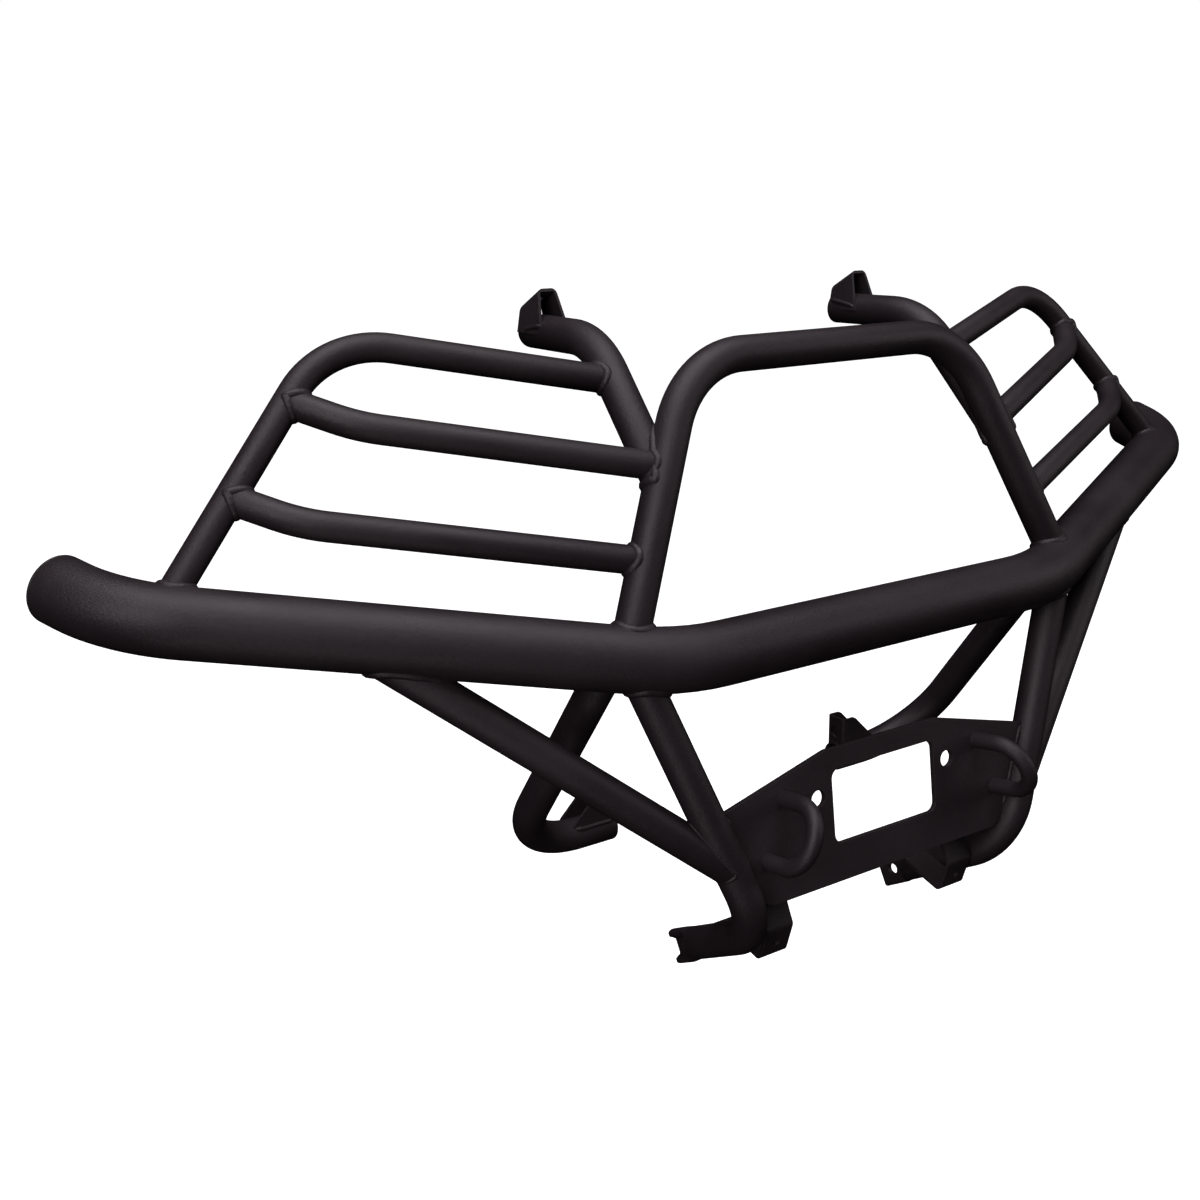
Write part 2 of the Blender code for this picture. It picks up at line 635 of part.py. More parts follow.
def build_side(side, bar_mould, hoop_mould):
    support = both_sides(support_route(), side)
    support_tube = tube(side_name("upper_support", side), support, [SUPPORT_BEND], FRAME_DIAMETER,
                        FRAME_WALL)
    cut(support_tube, hoop_mould)
    support_mould = outline(side_name("support_outline", side), support, [SUPPORT_BEND], FRAME_DIAMETER)
    build_upper_bracket(side, support_mould)

    wing = both_sides(wing_route(), side)
    wing_tube = tube(side_name("wing_hoop", side), wing, [WING_BEND], WING_DIAMETER, WING_WALL)
    cut(wing_tube, bar_mould)
    cut(wing_tube, support_mould)
    wing_mould = outline(side_name("wing_outline", side), wing, [WING_BEND], WING_DIAMETER)

    for level, hoop_z, wing_z in zip(("upper", "lower"), RUNG_HOOP_Z, RUNG_WING_Z):
        rung = both_sides(rung_route(hoop_z, wing_z), side)
        rung_tube = tube(side_name(level + "_rung", side), rung, [RUNG_BEND], WING_DIAMETER, WING_WALL)
        for mould in (hoop_mould, wing_mould, support_mould):
            cut(rung_tube, mould)

    _, leg_mould = build_leg(side, bar_mould)
    brace = tube(side_name("diagonal_brace", side), both_sides(brace_route(), side), [],
                 FRAME_DIAMETER, FRAME_WALL)
    cut(brace, bar_mould)
    cut(brace, leg_mould)

    stay = both_sides(stay_route(), side)
    stay_tube = tube(side_name("rear_stay", side), stay, [STAY_BEND], FRAME_DIAMETER, FRAME_WALL)
    cut(stay_tube, bar_mould)
    stay_mould = outline(side_name("stay_outline", side), stay, [STAY_BEND], FRAME_DIAMETER)
    build_rear_bracket(side, stay_mould)
    build_lower_bracket(side, leg_mould)
    build_loop(side)
    build_plug(side)
    return leg_mould


def main():
    clear_scene()
    _, bar_mould = build_main_bar()
    hoop = tube("centre_hoop", hoop_route(), [HOOP_BEND, HOOP_BEND], FRAME_DIAMETER, FRAME_WALL)
    cut(hoop, bar_mould)
    hoop_mould = outline("hoop_outline", hoop_route(), [HOOP_BEND, HOOP_BEND], FRAME_DIAMETER)
    leg_moulds = [build_side(side, bar_mould, hoop_mould) for side in (-1, 1)]
    build_plate(leg_moulds)


main()
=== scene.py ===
"""Visual model of a welded tube front guard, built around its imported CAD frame."""
import math

import bmesh
import bpy
from mathutils import Matrix, Vector, noise
from mathutils.bvhtree import BVHTree


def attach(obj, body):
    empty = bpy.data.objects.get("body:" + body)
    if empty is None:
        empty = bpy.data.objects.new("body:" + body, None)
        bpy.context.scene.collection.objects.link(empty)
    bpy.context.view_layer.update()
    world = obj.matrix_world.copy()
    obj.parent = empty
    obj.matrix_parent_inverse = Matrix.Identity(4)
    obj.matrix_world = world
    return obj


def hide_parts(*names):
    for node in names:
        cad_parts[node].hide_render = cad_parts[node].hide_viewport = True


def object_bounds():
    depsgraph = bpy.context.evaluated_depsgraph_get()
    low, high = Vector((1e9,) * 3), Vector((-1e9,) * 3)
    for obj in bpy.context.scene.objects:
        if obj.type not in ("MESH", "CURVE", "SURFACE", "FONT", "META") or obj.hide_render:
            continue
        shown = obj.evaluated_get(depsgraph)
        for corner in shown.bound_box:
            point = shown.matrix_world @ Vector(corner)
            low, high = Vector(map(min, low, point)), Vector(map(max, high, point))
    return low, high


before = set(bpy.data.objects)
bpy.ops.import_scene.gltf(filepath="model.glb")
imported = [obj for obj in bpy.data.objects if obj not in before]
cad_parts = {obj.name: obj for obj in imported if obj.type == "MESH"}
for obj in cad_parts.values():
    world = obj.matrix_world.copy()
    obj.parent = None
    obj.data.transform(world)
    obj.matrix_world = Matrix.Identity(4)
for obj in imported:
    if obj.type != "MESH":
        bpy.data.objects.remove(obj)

SOLID_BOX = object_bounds()
BODY = "root"

# ------------------------------------------------------------------ sizes, the same as the solids have
BAR_DIAMETER = 0.0508
FRAME_DIAMETER = 0.0286
WING_DIAMETER = 0.0222
LOOP_DIAMETER = 0.0140
BAR_WALL = 0.0026
FRAME_WALL = 0.0024
WING_WALL = 0.0020

BAR_FORWARD = 0.0881
BAR_HEIGHT = 0.2935
BAR_HALF_STRAIGHT = 0.2086
WING_SWEEP = 0.3875
WING_RISE = 0.1848
BAR_TURN_X = 0.5763
BAR_END_SPLAY = 0.33
BAR_END_LENGTH = 0.0600
BAR_CORNER_BEND = 0.2150
BAR_TURN_BEND = 0.0980

HOOP_FOOT_X = 0.2446
HOOP_TOP = Vector((0.1481, -0.0236, 0.5094))
HOOP_BEND = 0.0830

WING_FOOT_X = 0.5516
WING_TOP = Vector((0.3917, 0.0934, 0.5319))
WING_BEND = 0.0757
WING_JOINT_Z = 0.4913

RUNG_HOOP_Z = (0.4323, 0.3669)
RUNG_WING_Z = (0.4902, 0.4295)
RUNG_SET = Vector((-0.0371, -0.0352, -0.0170))
RUNG_BEND = 0.0932

SUPPORT_FOOT_Z = 0.4204
SUPPORT_CORNER_Y = 0.0488
SUPPORT_Z = 0.5206
SUPPORT_END_Y = 0.1500
SUPPORT_TOE = 0.0712
SUPPORT_BEND = 0.0754

LEG_TOP_X = 0.2408
LEG_CORNER = Vector((0.1465, -0.1183, 0.0648))
LEG_HOLE = Vector((0.1261, 0.0, 0.0))
LEG_BEND = 0.0602
PINCH_BEYOND_HOLE = 0.0145
PINCH_LENGTH = 0.0240
PINCH_BLEND = 0.0100
PINCH_THICKNESS = 0.0110
PINCH_OUTSET = 0.0035
PINCH_SPREAD = 1.08
PINCH_HOLE = 0.0105
PINCH_WEB = 0.0056             # both walls pressed together in the recess

BRACE_TOP_X = 0.4355
BRACE_FOOT_Z = 0.1237

STAY_TOP_X = 0.2466
STAY_TOP_RISE = 0.0170
STAY_CORNER_Y = 0.0988
STAY_CORNER_Z = 0.0821
STAY_END_X = 0.1390
STAY_BEND = 0.0740

PLATE_THICKNESS = 0.0045
PLATE_LEAN = math.radians(7.35)
PLATE_Y = -0.1052
PLATE_Z = 0.1460
WINDOW = (0.1180, 0.0626, 0.0080)       # width, height, corner radius
FAIRLEAD_SPACING = 0.1502
FAIRLEAD_HOLE = 0.0145
FAIRLEAD_HOLE_RISE = 0.0110
CREST_HALF_WIDTH = 0.0640
CREST_RISE = 0.0495
SHOULDER_RISE = 0.0195
PLATE_DROP = 0.0640
PLATE_CHAMFER = 0.0120
PLATE_BOTTOM_HALF_WIDTH = 0.1330

LOOP_UPPER = (0.1113, 0.0200)
LOOP_LOWER = (0.1325, -0.0265)
LOOP_REACH = 0.0460
LOOP_SPLAY = 0.0030

STRAP_THICKNESS = 0.0040
LOWER_BRACKET_X = 0.1070
LOWER_BRACKET_WIDTH = 0.0280
LOWER_BRACKET_RUN = ((-0.0782, 0.0850), (-0.0950, 0.0490), (-0.0865, 0.0215),
                     (-0.0420, 0.0350), (-0.0205, 0.0225))
LOWER_BRACKET_HOLE = 0.0065

CHANNEL_THICKNESS = 0.0026
UPPER_BRACKET_WIDTH = 0.0178
UPPER_BRACKET_SPLAY = 0.17
UPPER_BRACKET_FRONT_Y = 0.1130
UPPER_BRACKET_CREST_Y = 0.1250
UPPER_BRACKET_REAR_Y = 0.1480
UPPER_BRACKET_CREST_RISE = 0.0360
UPPER_BRACKET_REAR_RISE = 0.0220
UPPER_BRACKET_HOLE = 0.0065

REAR_BRACKET_WEB_X = 0.1398
REAR_BRACKET_CROWN_X = 0.1550
REAR_BRACKET_TOE_X = 0.1850
REAR_BRACKET_TOE_RISE = 0.0120
REAR_BRACKET_DEPTH = 0.0230
REAR_BRACKET_RISE = 0.0410
REAR_BRACKET_HOLE = 0.0120
REAR_BRACKET_HOLE_RISE = 0.0260

PLUG_GAP = 0.0003
PLUG_FLANGE = 0.0030
PLUG_DEPTH = 0.0100

# ------------------------------------------------------------------ finish sizes
SIDES = 56                     # round the tubes
STEP_ANGLE = math.radians(4)   # along their bends
RIM_ROUNDING = 0.0005
OVERRUN = 0.020
SMOOTH_ANGLE = math.radians(38)
BEAD = 0.0042                  # weld bead radius on the frame tubes
THIN_BEAD = 0.0039             # on the wing tubes
PLATE_BEAD = 0.0023            # on plate and strap edges
BEAD_SINK = 0.0017             # bead axis below the corner that it fills
RIPPLE_PITCH = 0.0034
RIPPLE_DEPTH = 0.014
RIPPLE_STEP = RIPPLE_PITCH / 5  # between the points along a bead
BRACKET_BEAD = 0.0022          # on the feet of the channels
RAY_REACH = 1.0                # how far a tube's end looks for the skin that it is welded to
LEG_REACH = 0.4                # the same from the plate out to the leg
BRACKET_REACH = 0.2            # the same from a bracket down to its tube
STRAIGHT_DOWN = Vector((0.0, 0.0, -1.0))
SKIN_SINK = 0.0003             # welded pieces run this far into the tube that they end on
EDGE_ROUNDING = 0.0006         # on bent sheet
PLATE_ROUNDING = 0.0007
FLOOR_DROP = 0.26              # the guard hangs clear of the floor


# ------------------------------------------------------------------ routes

def flip(point, side):
    return Vector((point[0] * side, point[1], point[2]))


def both(points, side):
    return [flip(p, side) for p in points]


def on_bar(x):
    out = max(0.0, x - BAR_HALF_STRAIGHT)
    return Vector((x, WING_SWEEP * out - BAR_FORWARD, BAR_HEIGHT + WING_RISE * out))


def at_height(low, high, z):
    return low.lerp(high, (z - low.z) / (high.z - low.z))


def on_hoop(z):
    return at_height(on_bar(HOOP_FOOT_X), HOOP_TOP, z)


def bar_route():
    turn = on_bar(BAR_TURN_X)
    rearward = Vector((BAR_END_SPLAY, 1.0, WING_RISE)).normalized()
    right = [on_bar(BAR_HALF_STRAIGHT), turn, turn + rearward * BAR_END_LENGTH]
    return [flip(p, -1) for p in reversed(right)] + right


def hoop_route():
    foot = on_bar(HOOP_FOOT_X)
    return [flip(foot, -1), flip(HOOP_TOP, -1), HOOP_TOP, foot]


def support_route():
    foot = on_hoop(SUPPORT_FOOT_Z)
    corner, end = (Vector((foot.x - SUPPORT_TOE * (y - foot.y), y, SUPPORT_Z))
                   for y in (SUPPORT_CORNER_Y, SUPPORT_END_Y))
    return [foot, corner, end]


def wing_route():
    support = support_route()
    return [on_bar(WING_FOOT_X), WING_TOP, at_height(support[0], support[1], WING_JOINT_Z)]


def rung_route(hoop_z, wing_z):
    foot, top, _ = wing_route()
    weld = at_height(foot, top, wing_z)
    return [on_hoop(hoop_z), weld + RUNG_SET, weld]


def leg_run():
    return (LEG_HOLE - LEG_CORNER).normalized()


def leg_route():
    return [on_bar(LEG_TOP_X), LEG_CORNER, LEG_HOLE + leg_run() * PINCH_BEYOND_HOLE]


def brace_route():
    return [on_bar(BRACE_TOP_X), at_height(LEG_CORNER, on_bar(LEG_TOP_X), BRACE_FOOT_Z)]


def stay_route():
    on_axis = on_bar(STAY_TOP_X)
    top = on_axis + Vector((0.0, 0.0, STAY_TOP_RISE))
    corner = Vector((STAY_TOP_X, STAY_CORNER_Y, STAY_CORNER_Z))
    down = (corner - top).normalized()
    top += down * down.dot(on_axis - top)
    return [top, corner, Vector((STAY_END_X, STAY_CORNER_Y, STAY_CORNER_Z))]


def plate_place():
    """Local X across, local Y up the plate, local Z out of its front face."""
    up = Vector((0.0, math.sin(PLATE_LEAN), math.cos(PLATE_LEAN)))
    front = Vector((1.0, 0.0, 0.0)).cross(up)
    turn = Matrix((Vector((1.0, 0.0, 0.0)), up, front)).transposed().to_4x4()
    return Matrix.Translation((0.0, PLATE_Y, PLATE_Z)) @ turn


# ------------------------------------------------------------------ mesh tools

def to_object(bm, name, merge=1e-6):
    bmesh.ops.remove_doubles(bm, verts=bm.verts, dist=merge)
    bmesh.ops.recalc_face_normals(bm, faces=bm.faces)
    mesh = bpy.data.meshes.new(name)
    bm.to_mesh(mesh)
    bm.free()
    item = bpy.data.objects.new(name, mesh)
    bpy.context.scene.collection.objects.link(item)
    return item


def settle(item):
    """Apply an object's modifiers and leave a plain mesh with smooth shading between sharp edges."""
    graph = bpy.context.evaluated_depsgraph_get()
    mesh = bpy.data.meshes.new_from_object(item.evaluated_get(graph), depsgraph=graph)
    old = item.data
    item.modifiers.clear()
    item.data = mesh
    mesh.name = item.name
    bpy.data.meshes.remove(old)
    mesh.shade_smooth()
    mesh.set_sharp_from_angle(angle=SMOOTH_ANGLE)
    return item


def discard(item):
    mesh = item.data
    bpy.data.objects.remove(item, do_unlink=True)
    bpy.data.meshes.remove(mesh)


def add_cut(item, cutter):
    modifier = item.modifiers.new("cut_" + cutter.name, "BOOLEAN")
    modifier.operation = "DIFFERENCE"
    modifier.solver = "EXACT"
    modifier.object = cutter


def cut_now(item, cutters):
    for cutter in cutters:
        add_cut(item, cutter)
    settle(item)
    for cutter in cutters:
        discard(cutter)
    return item


def round_edges(item, width, segments=2, angle=30):
    modifier = item.modifiers.new("rounding", "BEVEL")
    modifier.width = width
    modifier.segments = segments
    modifier.limit_method = "ANGLE"
    modifier.angle_limit = math.radians(angle)
    return modifier


def bend_of(before, corner, after, radius):
    incoming = (corner - before).normalized()
    outgoing = (after - corner).normalized()
    angle = incoming.angle(outgoing)
    axis = incoming.cross(outgoing).normalized()
    start = corner - incoming * radius * math.tan(angle / 2)
    return start, start + axis.cross(incoming) * radius, axis, angle


def extrude_loop(bm, loop, offset):
    made = bmesh.ops.extrude_edge_only(bm, edges=loop)["geom"]
    bmesh.ops.translate(bm, verts=[v for v in made if isinstance(v, bmesh.types.BMVert)], vec=offset)
    return [edge for edge in made if isinstance(edge, bmesh.types.BMEdge)]


def sweep(bm, route, bends, radius, sides=SIDES):
    """Carry a circle along straight runs and bends; return the first and last edge loops."""
    points = [Vector(p) for p in route]
    heading = (points[1] - points[0]).normalized()
    place = Matrix.Translation(points[0]) @ heading.to_track_quat("Z", "Y").to_matrix().to_4x4()
    ring = bmesh.ops.create_circle(bm, cap_ends=False, segments=sides, radius=radius, matrix=place)
    first = list({edge for vert in ring["verts"] for edge in vert.link_edges})
    loop = first
    here = points[0]
    for index, bend in enumerate(bends):
        start, centre, axis, angle = bend_of(points[index], points[index + 1], points[index + 2], bend)
        loop = extrude_loop(bm, loop, start - here)
        steps = max(3, math.ceil(angle / STEP_ANGLE))
        spun = bmesh.ops.spin(bm, geom=loop, cent=centre, axis=axis, angle=angle, steps=steps)
        loop = [part for part in spun["geom_last"] if isinstance(part, bmesh.types.BMEdge)]
        here = centre + Matrix.Rotation(angle, 3, axis) @ (start - centre)
    return first, extrude_loop(bm, loop, points[-1] - here)


def skin_tree(route, bends, radius):
    """The outside of a tube, ready for finding where another piece meets it."""
    bm = bmesh.new()
    sweep(bm, route, bends, radius)
    bmesh.ops.recalc_face_normals(bm, faces=bm.faces)
    tree = BVHTree.FromBMesh(bm)
    bm.free()
    return tree


def add_wall(item, wall):
    modifier = item.modifiers.new("wall", "SOLIDIFY")
    modifier.thickness = wall
    modifier.offset = -1.0
    modifier.use_even_offset = True
    modifier.use_rim = True


def tube(name, route, bends, diameter, wall):
    bm = bmesh.new()
    sweep(bm, route, bends, diameter / 2)
    item = to_object(bm, name)
    add_wall(item, wall)
    round_edges(item, RIM_ROUNDING, angle=50)
    return settle(item)


def prism(name, corners, depth, place):
    """A flat outline in the local XY plane, drawn out along local +Z."""
    bm = bmesh.new()
    face = bm.faces.new([bm.verts.new((x, y, 0.0)) for x, y in corners])
    made = bmesh.ops.extrude_face_region(bm, geom=[face])["geom"]
    bmesh.ops.translate(bm, verts=[v for v in made if isinstance(v, bmesh.types.BMVert)],
                        vec=(0.0, 0.0, depth))
    bmesh.ops.transform(bm, matrix=place, verts=bm.verts)
    return to_object(bm, name)


def round_off(item, chosen, radius, segments=5):
    """Round the edges of a plain mesh whose two end points both pass a test."""
    bm = bmesh.new()
    bm.from_mesh(item.data)
    edges = [edge for edge in bm.edges if chosen(edge.verts[0].co, edge.verts[1].co)]
    bmesh.ops.bevel(bm, geom=edges, offset=radius, offset_type="OFFSET", segments=segments,
                    profile=0.5, affect="EDGES", material=-1)
    bm.to_mesh(item.data)
    bm.free()
    return item


def drill(name, point, direction, diameter, length=OVERRUN, sides=40):
    bm = bmesh.new()
    place = Matrix.Translation(point) @ Vector(direction).to_track_quat("Z", "Y").to_matrix().to_4x4()
    bmesh.ops.create_cone(bm, cap_ends=True, segments=sides, radius1=diameter / 2,
                          radius2=diameter / 2, depth=length, matrix=place)
    return to_object(bm, name)


def side_name(name, side):
    return ("right_" if side > 0 else "left_") + name


# ------------------------------------------------------------------ weld beads

def bead(name, points, radius, closed=True):
    """A rippled bead along a line of points."""
    curve = bpy.data.curves.new(name, "CURVE")
    curve.dimensions = "3D"
    curve.bevel_depth = radius
    curve.bevel_resolution = 4
    curve.use_fill_caps = not closed
    spline = curve.splines.new("POLY")
    spline.points.add(len(points) - 1)
    spline.use_cyclic_u = closed
    run = 0.0
    total = sum((b - a).length for a, b in zip(points, points[1:]))
    for index, point in enumerate(points):
        if index:
            run += (point - points[index - 1]).length
        ripple = math.sin(math.tau * run / RIPPLE_PITCH) * RIPPLE_DEPTH
        lump = noise.noise(point * 130.0) * 0.10
        taper = 1.0
        if not closed:
            ends = min(run, total - run) / (2.0 * radius)
            taper = math.sqrt(max(0.05, min(1.0, ends)))
        spline.points[index].co = (*point, 1.0)
        spline.points[index].radius = (1.0 + ripple + lump) * taper
    drawn = bpy.data.objects.new(name + "_line", curve)
    bpy.context.scene.collection.objects.link(drawn)
    graph = bpy.context.evaluated_depsgraph_get()
    mesh = bpy.data.meshes.new_from_object(drawn.evaluated_get(graph), depsgraph=graph)
    bpy.data.objects.remove(drawn, do_unlink=True)
    bpy.data.curves.remove(curve)
    mesh.name = name
    mesh.shade_smooth()
    item = bpy.data.objects.new(name, mesh)
    bpy.context.scene.collection.objects.link(item)
    return item


def even_points(points, spacing, closed=True):
    """Points at an even spacing along a broken line."""
    line = list(points) + ([points[0]] if closed else [])
    lengths = [(b - a).length for a, b in zip(line, line[1:])]
    count = max(8, round(sum(lengths) / spacing))
    made = []
    for index in range(count if closed else count + 1):
        rest = sum(lengths) * index / count
        at = 0
        while at < len(lengths) - 1 and rest > lengths[at]:
            rest -= lengths[at]
            at += 1
        made.append(line[at].lerp(line[at + 1], min(1.0, rest / max(lengths[at], 1e-9))))
    return made


def ring_bead(name, start, heading, branch_radius, host, radius):
    """A bead round the end of a tube that runs from start along heading into a host's skin."""
    heading = heading.normalized()
    turn = heading.to_track_quat("Z", "Y").to_matrix()
    points = []
    for index in range(144):
        angle = math.tau * index / 144
        spoke = turn @ Vector((math.cos(angle), math.sin(angle), 0.0))
        place, normal, _, _ = host.ray_cast(start + spoke * branch_radius, heading, RAY_REACH)
        if place is not None:
            if normal.dot(heading) > 0.0:
                normal = -normal
            points.append(place - (spoke + normal).normalized() * BEAD_SINK)
    return bead(name, even_points(points, RIPPLE_STEP), radius)


# ------------------------------------------------------------------ finishes

def tree_node(tree, kind, place, **values):
    node = tree.nodes.new(kind)
    node.location = place
    for key, value in values.items():
        setattr(node, key, value)
    return node


def coat_texture_group():
    """Powder coat: fine grain over a soft orange peel, with slow changes of tone and gloss."""
    group = bpy.data.node_groups.new("powder_coat_texture", "ShaderNodeTree")
    sockets = group.interface
    sockets.new_socket(name="Vector", in_out="INPUT", socket_type="NodeSocketVector")
    for name, socket_type, value in (
            ("Base Tone", "NodeSocketColor", (0.020, 0.016, 0.018, 1.0)),
            ("Pale Tone", "NodeSocketColor", (0.030, 0.025, 0.028, 1.0)),
            ("Grain Scale", "NodeSocketFloat", 1500.0),
            ("Peel Scale", "NodeSocketFloat", 380.0),
            ("Peel Share", "NodeSocketFloat", 0.45),
            ("Rough Low", "NodeSocketFloat", 0.42),
            ("Rough High", "NodeSocketFloat", 0.54)):
        made = sockets.new_socket(name=name, in_out="INPUT", socket_type=socket_type)
        made.default_value = value
    for name, socket_type in (("Color", "NodeSocketColor"), ("Roughness", "NodeSocketFloat"),
                              ("Height", "NodeSocketFloat")):
        sockets.new_socket(name=name, in_out="OUTPUT", socket_type=socket_type)
    given = tree_node(group, "NodeGroupInput", (-900, 0))
    result = tree_node(group, "NodeGroupOutput", (700, 0))
    grain = tree_node(group, "ShaderNodeTexNoise", (-600, 200))
    grain.inputs["Detail"].default_value = 4.0
    grain.inputs["Roughness"].default_value = 0.62
    peel = tree_node(group, "ShaderNodeTexNoise", (-600, -60))
    peel.inputs["Detail"].default_value = 2.0
    slow = tree_node(group, "ShaderNodeTexNoise", (-600, -320))
    slow.inputs["Scale"].default_value = 14.0
    slow.inputs["Detail"].default_value = 5.0
    height = tree_node(group, "ShaderNodeMix", (-300, 60))
    tone_drive = tree_node(group, "ShaderNodeMix", (-300, 320))
    tone_drive.inputs["Factor"].default_value = 0.45
    tone_range = tree_node(group, "ShaderNodeMapRange", (-80, 320))
    tone_range.inputs["From Min"].default_value = 0.34
    tone_range.inputs["From Max"].default_value = 0.68
    tone = tree_node(group, "ShaderNodeMix", (180, 260), data_type="RGBA")
    rough = tree_node(group, "ShaderNodeMapRange", (180, -200))
    rough.inputs["From Min"].default_value = 0.35
    rough.inputs["From Max"].default_value = 0.65
    link = group.links.new
    for texture, scale in ((grain, "Grain Scale"), (peel, "Peel Scale")):
        link(given.outputs["Vector"], texture.inputs["Vector"])
        link(given.outputs[scale], texture.inputs["Scale"])
    link(given.outputs["Vector"], slow.inputs["Vector"])
    link(given.outputs["Peel Share"], height.inputs["Factor"])
    link(grain.outputs["Fac"], height.inputs["A"])
    link(peel.outputs["Fac"], height.inputs["B"])
    link(slow.outputs["Fac"], tone_drive.inputs["A"])
    link(grain.outputs["Fac"], tone_drive.inputs["B"])
    link(tone_drive.outputs["Result"], tone_range.inputs["Value"])
    link(tone_range.outputs["Result"], tone.inputs["Factor"])
    link(given.outputs["Base Tone"], tone.inputs["A"])
    link(given.outputs["Pale Tone"], tone.inputs["B"])
    link(slow.outputs["Fac"], rough.inputs["Value"])
    link(given.outputs["Rough Low"], rough.inputs["To Min"])
    link(given.outputs["Rough High"], rough.inputs["To Max"])
    link(tone.outputs["Result"], result.inputs["Color"])
    link(rough.outputs["Result"], result.inputs["Roughness"])
    link(height.outputs["Result"], result.inputs["Height"])
    return group


def coat_material(name, group, values, depth, distance, specular=0.5):
    made = bpy.data.materials.new(name)
    made.use_nodes = True
    tree = made.node_tree
    shader = tree.nodes["Principled BSDF"]
    shader.inputs["Specular IOR Level"].default_value = specular
    where = tree_node(tree, "ShaderNodeTexCoord", (-900, 0))
    coat = tree_node(tree, "ShaderNodeGroup", (-600, 0))
    coat.node_tree = group
    for key, value in values.items():
        coat.inputs[key].default_value = value
    bump = tree_node(tree, "ShaderNodeBump", (-300, -200))
    bump.inputs["Strength"].default_value = depth
    bump.inputs["Distance"].default_value = distance
    tree.links.new(where.outputs["Object"], coat.inputs["Vector"])
    tree.links.new(coat.outputs["Color"], shader.inputs["Base Color"])
    tree.links.new(coat.outputs["Roughness"], shader.inputs["Roughness"])
    tree.links.new(coat.outputs["Height"], bump.inputs["Height"])
    tree.links.new(bump.outputs["Normal"], shader.inputs["Normal"])
    return made


COAT_TEXTURE = coat_texture_group()
COAT_TONES = {"Base Tone": (0.0200, 0.0150, 0.0180, 1.0), "Pale Tone": (0.0300, 0.0235, 0.0275, 1.0)}
TUBE_COAT = coat_material("powder_coat_tube", COAT_TEXTURE, COAT_TONES, 0.75, 0.0006)
PLATE_COAT = coat_material("powder_coat_plate", COAT_TEXTURE,
                           {**COAT_TONES, "Peel Scale": 300.0, "Rough Low": 0.46, "Rough High": 0.58},
                           0.75, 0.0006)
WELD_COAT = coat_material("powder_coat_weld", COAT_TEXTURE,
                          {**COAT_TONES, "Peel Scale": 520.0, "Peel Share": 0.7}, 0.8, 0.0004)
CAP_PLASTIC = coat_material("end_cap_plastic", COAT_TEXTURE,
                            {"Base Tone": (0.0120, 0.0105, 0.0115, 1.0),
                             "Pale Tone": (0.0170, 0.0150, 0.0160, 1.0),
                             "Grain Scale": 2400.0, "Rough Low": 0.36, "Rough High": 0.44}, 0.35, 0.00015)


def even_shading(item):
    """Keep flat faces evenly shaded beside their rounded edges."""
    modifier = item.modifiers.new("even_shading", "WEIGHTED_NORMAL")
    modifier.keep_sharp = True
    modifier.weight = 80
    return item


def finish_piece(item, coat, node=None):
    """Dress a finished piece, let it ride on the guard and, if named, stand for a solid."""
    item.data.materials.clear()
    item.data.materials.append(coat)
    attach(item, BODY)
    if node:
        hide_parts(node)
    return item


def visual(name):
    return name + "_finish"


# ------------------------------------------------------------------ tubes

def make_tube(node, route, bends, diameter, wall):
    return finish_piece(tube(visual(node), route, bends, diameter, wall), TUBE_COAT, node)


def smooth_step(low, high, value):
    share = max(0.0, min(1.0, (value - low) / (high - low)))
    return share * share * (3.0 - 2.0 * share)


def leg_heading(side):
    corner, end = both(leg_route(), side)[-2:]
    return (end - corner).normalized()


def blended(wide, high, share):
    """A point of the leg's section part of the way from round to pressed."""
    amount = smooth_step(0.0, 1.0, share)
    flat_wide, flat_high = pressed(wide, high)
    return wide + (flat_wide - wide) * amount, high + (flat_high - high) * amount


def pressed(wide, high):
    """Where a point of the round section goes in the pressed one: flat inboard, two lobes outboard."""
    radius = FRAME_DIAMETER / 2
    half = PINCH_THICKNESS / 2
    share = max(-1.0, min(1.0, wide / radius))
    across = half * math.copysign(min(1.0, 1.9 * abs(share)) ** 0.8, share)
    if share > 0.0:
        recess = 1.0 - smooth_step(0.42 * radius, 0.64 * radius, abs(high))
        across += (PINCH_WEB - half - across) * recess
    return across + PINCH_OUTSET, high * PINCH_SPREAD


